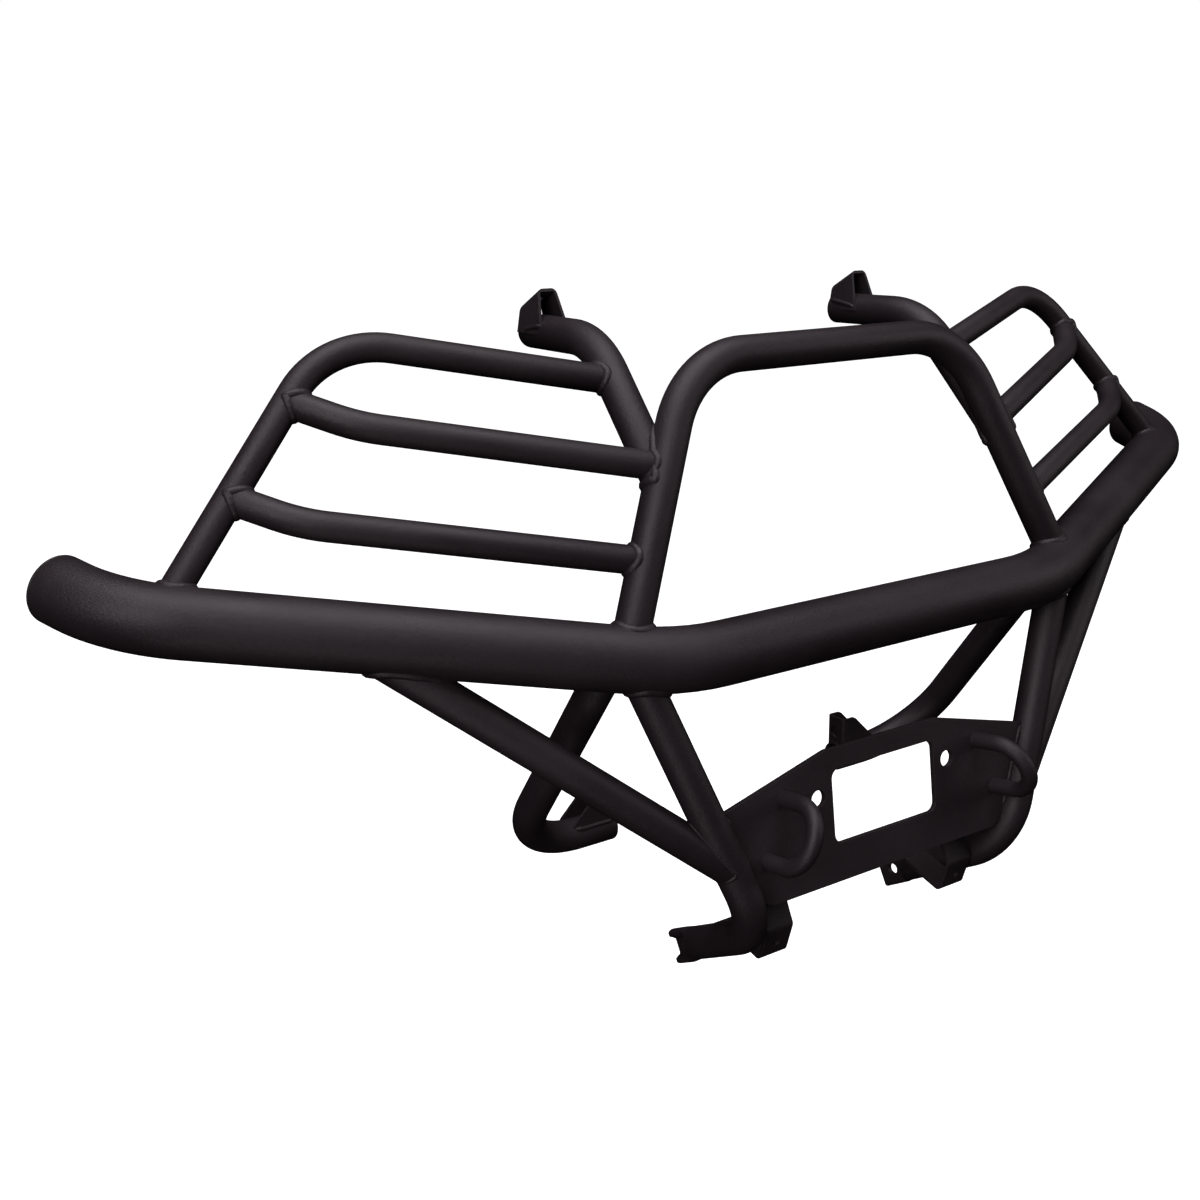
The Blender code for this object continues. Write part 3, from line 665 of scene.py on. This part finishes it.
def make_leg(side):
    route = both(leg_route(), side)
    run = leg_heading(side)
    across = Vector((side, 0.0, 0.0))
    across = (across - run * across.dot(run)).normalized()
    upward = run.cross(across)
    begin = route[-1] - run * (PINCH_LENGTH + PINCH_BLEND)
    bm = bmesh.new()
    top, loop = sweep(bm, route[:-1] + [begin], [LEG_BEND], FRAME_DIAMETER / 2)
    rounds = [((vert.co - begin).dot(across), (vert.co - begin).dot(upward))
              for vert in {vert for edge in loop for vert in edge.verts}]
    steps = [(step / 12, PINCH_BLEND * step / 12) for step in range(1, 13)]
    steps.append((1.0, PINCH_BLEND + PINCH_LENGTH))
    before, last_share = 0.0, 0.0
    for share, distance in steps:
        loop = extrude_loop(bm, loop, run * (distance - before))
        if share > last_share:
            for vert in {vert for edge in loop for vert in edge.verts}:
                here = (vert.co - begin).dot(across), (vert.co - begin).dot(upward)
                wide, high = min(rounds, key=lambda given: math.dist(
                    blended(*given, last_share), here))
                new_wide, new_high = blended(wide, high, share)
                vert.co += across * (new_wide - here[0]) + upward * (new_high - here[1])
        before, last_share = distance, share
    for edges in (top, loop):
        bmesh.ops.edgeloop_fill(bm, edges=edges)
    leg = to_object(bm, visual(side_name("lower_leg", side)))
    cut_now(leg, [drill("pinch_drill", flip(LEG_HOLE, side), across, PINCH_HOLE, 2 * OVERRUN)])
    return finish_piece(leg, TUBE_COAT, side_name("lower_leg", side))


# ------------------------------------------------------------------ plate, loops, brackets, caps

def leg_x(rise):
    top, corner, _ = leg_route()
    return at_height(corner, top, PLATE_Z + rise * math.cos(PLATE_LEAN)).x


def rounded_outline(corners, radii, steps=8):
    """A flat outline with each corner rounded by its own radius."""
    points = [Vector(corner) for corner in corners]
    made = []
    for index, corner in enumerate(points):
        before = (points[index - 1] - corner).normalized()
        after = (points[(index + 1) % len(points)] - corner).normalized()
        radius = radii[index]
        if radius <= 0.0:
            made.append(tuple(corner))
            continue
        half = before.angle(after) / 2
        centre = corner + (before + after).normalized() * radius / math.sin(half)
        start = corner + before * radius / math.tan(half) - centre
        finish = corner + after * radius / math.tan(half) - centre
        sweep_angle = start.angle_signed(finish)
        for step in range(steps + 1):
            turned = start.copy()
            turned.rotate(Matrix.Rotation(-sweep_angle * step / steps, 2))
            made.append(tuple(centre + turned))
    return made


def make_plate():
    place = plate_place()
    foot = PLATE_CHAMFER - PLATE_DROP
    right = [(PLATE_BOTTOM_HALF_WIDTH - 0.004, -PLATE_DROP), (leg_x(foot), foot),
             (leg_x(SHOULDER_RISE), SHOULDER_RISE), (CREST_HALF_WIDTH, CREST_RISE)]
    radii = [0.004, 0.0, 0.002, 0.009]
    corners = right + [(-x, y) for x, y in reversed(right)]
    plate = prism(visual("winch_plate"), rounded_outline(corners, radii + radii[::-1]),
                  PLATE_THICKNESS, place @ Matrix.Translation((0.0, 0.0, -PLATE_THICKNESS)))
    width, height, corner = WINDOW
    window = prism("window", rounded_outline(
        [(width / 2, -height / 2), (width / 2, height / 2), (-width / 2, height / 2),
         (-width / 2, -height / 2)], [corner] * 4, 10), 2 * OVERRUN,
        place @ Matrix.Translation((0.0, 0.0, -OVERRUN)))
    cutters = [window]
    for side in (-1, 1):
        point = place @ Vector((side * FAIRLEAD_SPACING / 2, FAIRLEAD_HOLE_RISE, 0.0))
        cutters.append(drill(side_name("fairlead_drill", side), point, place.to_3x3().col[2],
                             FAIRLEAD_HOLE))
    cut_now(plate, cutters)
    round_edges(plate, PLATE_ROUNDING, segments=3)
    even_shading(settle(plate))
    return finish_piece(plate, PLATE_COAT, "winch_plate")


def loop_route(side):
    place = plate_place()
    upper, lower = (place @ Vector((side * x, y, 0.0)) for x, y in (LOOP_UPPER, LOOP_LOWER))
    out = place.to_3x3() @ Vector((side * LOOP_SPLAY, 0.0, LOOP_REACH))
    return [upper, upper + out, lower + out, lower]


def make_loop(side):
    route = loop_route(side)
    bend = (route[0] - route[3]).length / 2 - 0.0005
    bm = bmesh.new()
    for edges in sweep(bm, route, [bend, bend], LOOP_DIAMETER / 2, sides=40):
        bmesh.ops.edgeloop_fill(bm, edges=edges)
    name = side_name("tow_loop", side)
    item = settle(to_object(bm, visual(name)))
    return finish_piece(item, TUBE_COAT, name)


def strap_outline(middle, thickness, inner_radius):
    """Outline of a strap of even thickness, its folds rounded inside and out."""
    points = [Vector(p) for p in middle]
    sides = ([], [])
    folds = ([], [])
    for index, point in enumerate(points):
        before = points[max(index - 1, 0)]
        after = points[min(index + 1, len(points) - 1)]
        into = (point - before).normalized() if index else (after - point).normalized()
        out = (after - point).normalized() if index < len(points) - 1 else into
        normal = Vector((-into.y - out.y, into.x + out.x)).normalized()
        reach = thickness / 2 / normal.dot(Vector((-into.y, into.x)))
        turn = into.x * out.y - into.y * out.x
        ended = index in (0, len(points) - 1)
        for share, sign in ((0, 1), (1, -1)):
            sides[share].append(point + normal * reach * sign)
            inside = turn * sign > 0.0
            folds[share].append(0.0 if ended else inner_radius + (0.0 if inside else thickness))
    return rounded_outline([tuple(p) for p in sides[0] + sides[1][::-1]],
                           folds[0] + folds[1][::-1], 6)


def shelf_end():
    """Where the lower bracket's top shelf stops, on the winch plate's rear face."""
    place = plate_place()
    corner = place.inverted() @ Vector((0.0, *LOWER_BRACKET_RUN[0]))
    end = place @ Vector((0.0, corner.y, -PLATE_THICKNESS))
    return end.y, end.z


def make_lower_bracket(side):
    profile = strap_outline((shelf_end(), *LOWER_BRACKET_RUN), STRAP_THICKNESS, 0.0025)
    turn = Matrix(((0, 0, 1), (1, 0, 0), (0, 1, 0))).to_4x4()
    start = side * LOWER_BRACKET_X - LOWER_BRACKET_WIDTH / 2
    name = side_name("lower_bracket", side)
    bracket = prism(visual(name), profile, LOWER_BRACKET_WIDTH,
                    Matrix.Translation((start, 0.0, 0.0)) @ turn)
    top, bottom = (Vector((side * LOWER_BRACKET_X, *p)) for p in LOWER_BRACKET_RUN[1:3])
    facing = (bottom - top).cross(Vector((1.0, 0.0, 0.0)))
    cut_now(bracket, [drill("strap_drill", (top + bottom) / 2, facing, LOWER_BRACKET_HOLE),
                      leg_core(side)])
    round_edges(bracket, EDGE_ROUNDING, segments=3, angle=40)
    even_shading(settle(bracket))
    return finish_piece(bracket, PLATE_COAT, name)


def leg_core(side):
    """A solid just inside a leg's skin, for ending pieces that are welded to it."""
    route = both(leg_route(), side)
    run = leg_heading(side)
    bm = bmesh.new()
    for edges in sweep(bm, route[:-1] + [route[-1] - run * (PINCH_LENGTH + PINCH_BLEND)], [LEG_BEND],
                       FRAME_DIAMETER / 2 - SKIN_SINK, sides=32):
        bmesh.ops.edgeloop_fill(bm, edges=edges)
    return to_object(bm, side_name("leg_core", side))


def tube_core(name, route, bends, diameter):
    bm = bmesh.new()
    for edges in sweep(bm, route, bends, diameter / 2 - SKIN_SINK, sides=32):
        bmesh.ops.edgeloop_fill(bm, edges=edges)
    return to_object(bm, name)


def make_upper_bracket(side):
    foot = support_route()[0]
    middle_x = foot.x - SUPPORT_TOE * (UPPER_BRACKET_CREST_Y - foot.y)
    crest = SUPPORT_Z + UPPER_BRACKET_CREST_RISE
    rear = SUPPORT_Z + UPPER_BRACKET_REAR_RISE
    turn = Matrix(((0, 0, 1), (1, 0, 0), (0, 1, 0))).to_4x4()
    start = side * middle_x - UPPER_BRACKET_WIDTH / 2
    name = side_name("upper_bracket", side)
    outside = [(UPPER_BRACKET_FRONT_Y, SUPPORT_Z), (UPPER_BRACKET_REAR_Y, SUPPORT_Z),
               (UPPER_BRACKET_REAR_Y, rear), (UPPER_BRACKET_CREST_Y, crest)]
    bracket = prism(visual(name), outside, UPPER_BRACKET_WIDTH,
                    Matrix.Translation((start, 0.0, 0.0)) @ turn)
    level = SUPPORT_Z + 0.001
    round_off(bracket, lambda a, b: abs(a.x - b.x) < 1e-5 and min(a.z, b.z) > level, 0.0045)
    fall = Vector((UPPER_BRACKET_REAR_Y - UPPER_BRACKET_CREST_Y, rear - crest)).normalized()
    drop = Vector((fall.y, -fall.x)) * CHANNEL_THICKNESS
    high = Vector((UPPER_BRACKET_CREST_Y, crest)) + drop - fall * OVERRUN
    low = Vector((UPPER_BRACKET_REAR_Y, rear)) + drop + fall * OVERRUN
    under = SUPPORT_Z - OVERRUN
    inside = prism(side_name("channel_hollow", side),
                   [(high.x, under), (low.x, under), tuple(low), tuple(high)],
                   UPPER_BRACKET_WIDTH - 2 * CHANNEL_THICKNESS,
                   Matrix.Translation((start + CHANNEL_THICKNESS, 0.0, 0.0)) @ turn)
    for shape in (bracket, inside):
        for vert in shape.data.vertices:
            outward = math.copysign(1.0, vert.co.x - side * middle_x)
            vert.co.x += outward * UPPER_BRACKET_SPLAY * (crest - vert.co.z)
    web_middle = Vector((side * middle_x, (UPPER_BRACKET_CREST_Y + UPPER_BRACKET_REAR_Y) / 2,
                         (crest + rear) / 2))
    hole = drill("web_drill", web_middle, (0.0, -drop.x, -drop.y), UPPER_BRACKET_HOLE,
                 4 * CHANNEL_THICKNESS)
    core = tube_core("support_core", both(support_route(), side), [SUPPORT_BEND], FRAME_DIAMETER)
    cut_now(bracket, [inside, core, hole])
    round_edges(bracket, EDGE_ROUNDING, segments=3, angle=50)
    even_shading(settle(bracket))
    return finish_piece(bracket, PLATE_COAT, name)


def make_rear_bracket(side):
    base = STAY_CORNER_Z
    top = base + REAR_BRACKET_RISE
    name = side_name("rear_bracket", side)
    cheek = [(REAR_BRACKET_WEB_X, base), (REAR_BRACKET_TOE_X, base),
             (REAR_BRACKET_TOE_X, base + REAR_BRACKET_TOE_RISE), (REAR_BRACKET_CROWN_X, top),
             (REAR_BRACKET_WEB_X, top)]
    turn = Matrix(((1, 0, 0), (0, 0, 1), (0, 1, 0))).to_4x4()
    front = STAY_CORNER_Y - REAR_BRACKET_DEPTH / 2
    rounded = [(side * x, z) for x, z in rounded_outline(cheek, [0.0, 0.0, 0.004, 0.006, 0.0], 6)]
    bracket = prism(visual(name), rounded, REAR_BRACKET_DEPTH,
                    Matrix.Translation((0.0, front, 0.0)) @ turn)
    round_off(bracket, lambda a, b: (abs(a.x - side * REAR_BRACKET_WEB_X) < 1e-5
                                     and abs(b.x - side * REAR_BRACKET_WEB_X) < 1e-5
                                     and abs(a.y - b.y) < 1e-5), 0.0036)
    inner = REAR_BRACKET_WEB_X + CHANNEL_THICKNESS
    outer = REAR_BRACKET_TOE_X + OVERRUN
    hollow = [(inner, base - OVERRUN), (outer, base - OVERRUN), (outer, top + OVERRUN),
              (inner, top + OVERRUN)]
    inside = prism("rear_hollow", [(side * x, z) for x, z in hollow],
                   REAR_BRACKET_DEPTH - 2 * CHANNEL_THICKNESS,
                   Matrix.Translation((0.0, front + CHANNEL_THICKNESS, 0.0)) @ turn)
    centre = Vector((side * REAR_BRACKET_WEB_X, STAY_CORNER_Y, base + REAR_BRACKET_HOLE_RISE))
    hole = drill("rear_drill", centre, (1.0, 0.0, 0.0), REAR_BRACKET_HOLE)
    core = tube_core("stay_core", both(stay_route(), side), [STAY_BEND], FRAME_DIAMETER)
    cut_now(bracket, [inside, core, hole])
    round_edges(bracket, EDGE_ROUNDING, segments=3, angle=50)
    even_shading(settle(bracket))
    return finish_piece(bracket, PLATE_COAT, name)


def make_cap(side):
    """A rounded cap with a raised rim ring, its spigot pressed into the bar's end."""
    route = both(bar_route()[-2:], side)
    outward = (route[1] - route[0]).normalized()
    place = (Matrix.Translation(route[1] + outward * PLUG_GAP)
             @ outward.to_track_quat("Z", "Y").to_matrix().to_4x4())
    rim = BAR_DIAMETER / 2
    bore = rim - BAR_WALL - PLUG_GAP
    profile = [(0.0, -PLUG_DEPTH), (bore - 0.001, -PLUG_DEPTH), (bore, 0.001 - PLUG_DEPTH), (bore, 0.0),
               (rim - 0.0006, 0.0), (rim - 0.0001, 0.0005)]
    crown = PLUG_FLANGE - 0.0004
    for step in range(9):
        angle = math.pi / 2 * step / 8
        profile.append((rim - crown + crown * math.cos(angle),
                        0.0006 + (crown - 0.0003) * math.sin(angle)))
    profile += [(rim - 0.009, PLUG_FLANGE), (rim - 0.016, PLUG_FLANGE + 0.0004),
                (0.0, PLUG_FLANGE + 0.0006)]
    bm = bmesh.new()
    verts = [bm.verts.new((radius, 0.0, height)) for radius, height in profile]
    edges = [bm.edges.new(pair) for pair in zip(verts, verts[1:])]
    bmesh.ops.spin(bm, geom=verts + edges, cent=(0, 0, 0), axis=(0, 0, 1), angle=math.tau, steps=72,
                   use_merge=True)
    bmesh.ops.transform(bm, matrix=place, verts=bm.verts)
    name = side_name("end_plug", side)
    item = settle(to_object(bm, visual(name), merge=1e-5))
    return finish_piece(item, CAP_PLASTIC, name)


# ------------------------------------------------------------------ the whole guard

def weld(name, *arguments, **extra):
    return finish_piece(ring_bead("weld_" + name, *arguments, **extra), WELD_COAT)


def make_side(side, bar_skin, hoop_skin):
    frame_radius = FRAME_DIAMETER / 2
    wing_radius = WING_DIAMETER / 2
    support = both(support_route(), side)
    wing = both(wing_route(), side)
    leg = both(leg_route(), side)
    brace = both(brace_route(), side)
    stay = both(stay_route(), side)
    make_tube(side_name("upper_support", side), support, [SUPPORT_BEND], FRAME_DIAMETER, FRAME_WALL)
    make_tube(side_name("wing_hoop", side), wing, [WING_BEND], WING_DIAMETER, WING_WALL)
    make_tube(side_name("diagonal_brace", side), brace, [], FRAME_DIAMETER, FRAME_WALL)
    make_tube(side_name("rear_stay", side), stay, [STAY_BEND], FRAME_DIAMETER, FRAME_WALL)
    make_leg(side)
    support_skin = skin_tree(support, [SUPPORT_BEND], frame_radius)
    wing_skin = skin_tree(wing, [WING_BEND], wing_radius)
    leg_skin = skin_tree(leg, [LEG_BEND], frame_radius)
    for level, hoop_z, wing_z in zip(("upper", "lower"), RUNG_HOOP_Z, RUNG_WING_Z):
        rung = both(rung_route(hoop_z, wing_z), side)
        name = side_name(level + "_rung", side)
        make_tube(name, rung, [RUNG_BEND], WING_DIAMETER, WING_WALL)
        outer = rung[1] - rung[2]
        weld(name + "_inner", rung[1], rung[0] - rung[1], wing_radius, hoop_skin, THIN_BEAD)
        weld(name + "_outer", rung[2] + outer * 0.9, -outer, wing_radius, wing_skin, THIN_BEAD)
    weld(side_name("support_foot", side), support[1], support[0] - support[1], frame_radius,
         hoop_skin, BEAD)
    weld(side_name("wing_foot", side), wing[1], wing[0] - wing[1], wing_radius, bar_skin, THIN_BEAD)
    weld(side_name("wing_inner", side), wing[1], wing[2] - wing[1], wing_radius, support_skin, THIN_BEAD)
    hoop = both([HOOP_TOP, on_bar(HOOP_FOOT_X)], side)
    weld(side_name("hoop_foot", side), hoop[0], hoop[1] - hoop[0], frame_radius, bar_skin, BEAD)
    weld(side_name("leg_top", side), leg[1], leg[0] - leg[1], frame_radius, bar_skin, BEAD)
    weld(side_name("stay_top", side), stay[1], stay[0] - stay[1], frame_radius, bar_skin, BEAD)
    middle = (brace[0] + brace[1]) / 2
    weld(side_name("brace_top", side), middle, brace[0] - middle, frame_radius, bar_skin, BEAD)
    weld(side_name("brace_foot", side), middle, brace[1] - middle, frame_radius, leg_skin, PLATE_BEAD)
    make_upper_bracket(side)
    make_rear_bracket(side)
    make_lower_bracket(side)
    make_loop(side)
    make_cap(side)
    plate_weld(side, leg_skin)
    bracket_welds(side, support_skin, skin_tree(stay, [STAY_BEND], frame_radius))


def plate_weld(side, leg_skin):
    """The bead in the corner where the plate's front face meets a leg."""
    place = plate_place()
    facing = place.to_3x3().col[2]
    points = []
    low = PLATE_CHAMFER - PLATE_DROP + 0.004
    for step in range(80):
        rise = low + (SHOULDER_RISE - low) * step / 79
        start = place @ Vector((0.0, rise, 0.0))
        touch = leg_skin.ray_cast(start, Vector((side, 0.0, 0.0)), LEG_REACH)[0]
        if touch is not None:
            points.append(touch - Vector((side * 0.0004, 0.0, 0.0)) - facing * 0.0004)
    item = bead("weld_" + side_name("plate", side), even_points(points, RIPPLE_STEP, closed=False),
                PLATE_BEAD, closed=False)
    return finish_piece(item, WELD_COAT)


def bracket_welds(side, support_skin, stay_skin):
    foot = support_route()[0]
    crest = SUPPORT_Z + UPPER_BRACKET_CREST_RISE
    for cheek in (-1, 1):
        points = []
        for step in range(30):
            depth = UPPER_BRACKET_REAR_Y - UPPER_BRACKET_FRONT_Y - 0.002
            y = UPPER_BRACKET_FRONT_Y + 0.001 + depth * step / 29
            middle_x = side * (foot.x - SUPPORT_TOE * (UPPER_BRACKET_CREST_Y - foot.y))
            reach = UPPER_BRACKET_WIDTH / 2 + UPPER_BRACKET_SPLAY * (crest - SUPPORT_Z - 0.010)
            above = Vector((middle_x + cheek * reach, y, SUPPORT_Z + 0.06))
            touch = support_skin.ray_cast(above, STRAIGHT_DOWN, BRACKET_REACH)[0]
            if touch is not None:
                points.append(touch)
        if len(points) > 2:
            name = side_name("upper_bracket_" + ("outer" if cheek > 0 else "inner"), side)
            item = bead("weld_" + name, even_points(points, RIPPLE_STEP, closed=False),
                        BRACKET_BEAD, closed=False)
            finish_piece(item, WELD_COAT)
        points = []
        for step in range(40):
            x = side * (REAR_BRACKET_WEB_X + 0.002
                        + (REAR_BRACKET_TOE_X - REAR_BRACKET_WEB_X - 0.003) * step / 39)
            above = Vector((x, STAY_CORNER_Y + cheek * REAR_BRACKET_DEPTH / 2, STAY_CORNER_Z + 0.06))
            touch = stay_skin.ray_cast(above, STRAIGHT_DOWN, BRACKET_REACH)[0]
            if touch is not None:
                points.append(touch)
        if len(points) > 2:
            name = side_name("rear_bracket_" + ("rear" if cheek > 0 else "front"), side)
            item = bead("weld_" + name, even_points(points, RIPPLE_STEP, closed=False),
                        BRACKET_BEAD, closed=False)
            finish_piece(item, WELD_COAT)


def make_guard():
    bar_bends = [BAR_TURN_BEND, BAR_CORNER_BEND, BAR_CORNER_BEND, BAR_TURN_BEND]
    make_tube("main_bar", bar_route(), bar_bends, BAR_DIAMETER, BAR_WALL)
    make_tube("centre_hoop", hoop_route(), [HOOP_BEND, HOOP_BEND], FRAME_DIAMETER, FRAME_WALL)
    bar_skin = skin_tree(bar_route(), bar_bends, BAR_DIAMETER / 2)
    hoop_skin = skin_tree(hoop_route(), [HOOP_BEND, HOOP_BEND], FRAME_DIAMETER / 2)
    make_plate()
    for side in (-1, 1):
        make_side(side, bar_skin, hoop_skin)


# ------------------------------------------------------------------ floor, light and camera

def plain_material(name, colour, roughness):
    made = bpy.data.materials.new(name)
    made.use_nodes = True
    shader = made.node_tree.nodes["Principled BSDF"]
    shader.inputs["Base Color"].default_value = colour
    shader.inputs["Roughness"].default_value = roughness
    return made


def make_floor(box):
    low, high = Vector(box[0]), Vector(box[1])
    middle = (low + high) / 2
    bm = bmesh.new()
    place = Matrix.Translation((middle.x, middle.y, low.z - FLOOR_DROP))
    bmesh.ops.create_grid(bm, x_segments=1, y_segments=1, size=14.0, matrix=place)
    floor = to_object(bm, "floor")
    paint = plain_material("floor_paint", (0.92, 0.92, 0.92, 1.0), 0.9)
    shader = paint.node_tree.nodes["Principled BSDF"]
    shader.inputs["Emission Color"].default_value = (1.0, 1.0, 1.0, 1.0)
    shader.inputs["Emission Strength"].default_value = 1.1
    floor.data.materials.append(paint)
    floor.visible_diffuse = False
    floor.visible_glossy = False


def aim(item, target):
    item.rotation_euler = (Vector(target) - item.location).to_track_quat("-Z", "Y").to_euler()


def area_light(name, place, target, size, power, tint=(1.0, 1.0, 1.0)):
    data = bpy.data.lights.new(name, "AREA")
    data.shape = "RECTANGLE"
    data.size, data.size_y = size
    data.energy = power
    data.color = tint
    item = bpy.data.objects.new(name, data)
    bpy.context.scene.collection.objects.link(item)
    item.location = place
    aim(item, target)


def make_lights():
    centre = (0.0, 0.0, 0.28)
    warm = (1.0, 0.93, 0.97)
    area_light("top_panel", (-0.2, -0.3, 2.6), centre, (2.6, 2.0), 46.0, warm)
    area_light("left_panel", (-2.4, -1.5, 1.5), centre, (1.4, 1.8), 30.0, warm)
    area_light("low_panel", (-0.75, -0.55, -0.15), (-0.13, -0.03, 0.02), (0.3, 0.3), 0.7, warm)
    area_light("right_panel", (2.4, -1.6, 1.2), centre, (1.4, 1.6), 9.0, warm)
    world = bpy.data.worlds.new("studio")
    world.use_nodes = True
    background = world.node_tree.nodes["Background"]
    background.inputs["Color"].default_value = (1.0, 1.0, 1.0, 1.0)
    background.inputs["Strength"].default_value = 1.0
    world.cycles_visibility.diffuse = False
    world.cycles_visibility.glossy = False
    bpy.context.scene.world = world


def make_camera():
    data = bpy.data.cameras.new("product_camera")
    data.sensor_width = 36.0
    data.lens = 45.69
    data.shift_y = 0.0044
    item = bpy.data.objects.new("product_camera", data)
    bpy.context.scene.collection.objects.link(item)
    right = Vector((0.815621, -0.578450, -0.012579))
    down = Vector((-0.163602, -0.209718, -0.963978))
    forward = Vector((0.554975, 0.788298, -0.265686))
    turn = Matrix((right, -down, -forward)).transposed().to_4x4()
    item.matrix_world = Matrix.Translation((-0.876637, -0.939108, 0.637258)) @ turn
    bpy.context.scene.camera = item


make_guard()
make_floor(SOLID_BOX)
make_lights()
make_camera()
bpy.context.scene.view_settings.view_transform = "Standard"
